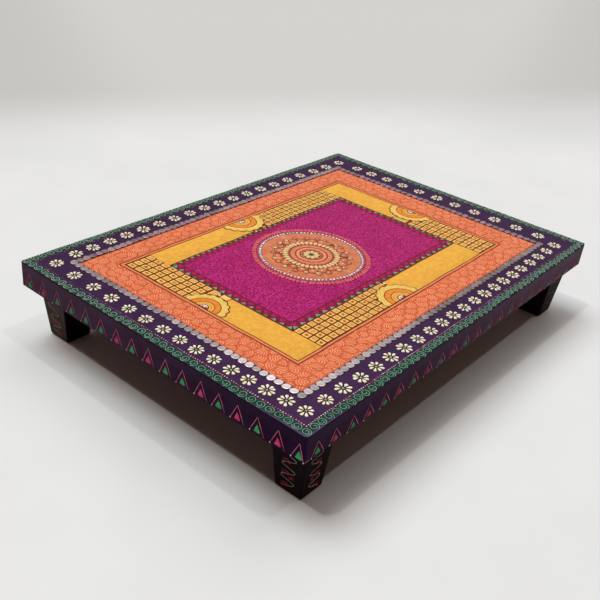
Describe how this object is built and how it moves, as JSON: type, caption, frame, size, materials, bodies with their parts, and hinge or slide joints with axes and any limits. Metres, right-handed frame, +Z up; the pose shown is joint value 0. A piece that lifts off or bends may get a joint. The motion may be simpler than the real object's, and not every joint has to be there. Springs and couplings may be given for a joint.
{
  "type": "bajot low table",
  "caption": "Low rectangular floor table: a flat painted top on a shallow frame with a tapered block leg in each corner.",
  "frame": {"origin": "on the floor, under the middle of the table", "axes": "+Z up; +Y along the table's length, from the front end to the back end; +X across, towards the right long side"},
  "size_m": [0.432, 0.61, 0.1026],
  "materials": {
    "top_paint": "hand painted and varnished",
    "side_paint": "hand painted and varnished",
    "leg_paint": "hand painted and varnished",
    "under_stain": "thin dark paint, brushed on bare wood",
    "bright_disc": "bright foil under varnish",
    "screw_steel": "zinc plated",
    "dowel_beech": "bare"
  },
  "bodies": {
    "root": {"top_board": "top_paint", "rail_front": "side_paint", "rail_back": "side_paint", "rail_left": "side_paint", "rail_right": "side_paint", "leg_front_left": "leg_paint", "leg_front_right": "leg_paint", "leg_back_left": "leg_paint", "leg_back_right": "leg_paint", "batten": "under_stain", "disc_row_front": "bright_disc", "disc_row_back": "bright_disc", "disc_row_left": "bright_disc", "disc_row_right": "bright_disc", "rail_screw_front_left": "screw_steel", "rail_screw_front_right": "screw_steel", "rail_screw_back_left": "screw_steel", "rail_screw_back_right": "screw_steel", "rail_screw_left_front": "screw_steel", "rail_screw_right_front": "screw_steel", "rail_screw_left_back": "screw_steel", "rail_screw_right_back": "screw_steel", "batten_screw_front_left": "screw_steel", "batten_screw_front_right": "screw_steel", "batten_screw_back_left": "screw_steel", "batten_screw_back_right": "screw_steel", "leg_screw_side_front_left": "screw_steel", "leg_screw_end_front_left": "screw_steel", "leg_screw_side_front_right": "screw_steel", "leg_screw_end_front_right": "screw_steel", "leg_screw_side_back_left": "screw_steel", "leg_screw_end_back_left": "screw_steel", "leg_screw_side_back_right": "screw_steel", "leg_screw_end_back_right": "screw_steel", "dowel_front_left_upper": "dowel_beech", "dowel_front_left_lower": "dowel_beech", "dowel_front_right_upper": "dowel_beech", "dowel_front_right_lower": "dowel_beech", "dowel_back_left_upper": "dowel_beech", "dowel_back_left_lower": "dowel_beech", "dowel_back_right_upper": "dowel_beech", "dowel_back_right_lower": "dowel_beech"}
  },
  "joints": []
}
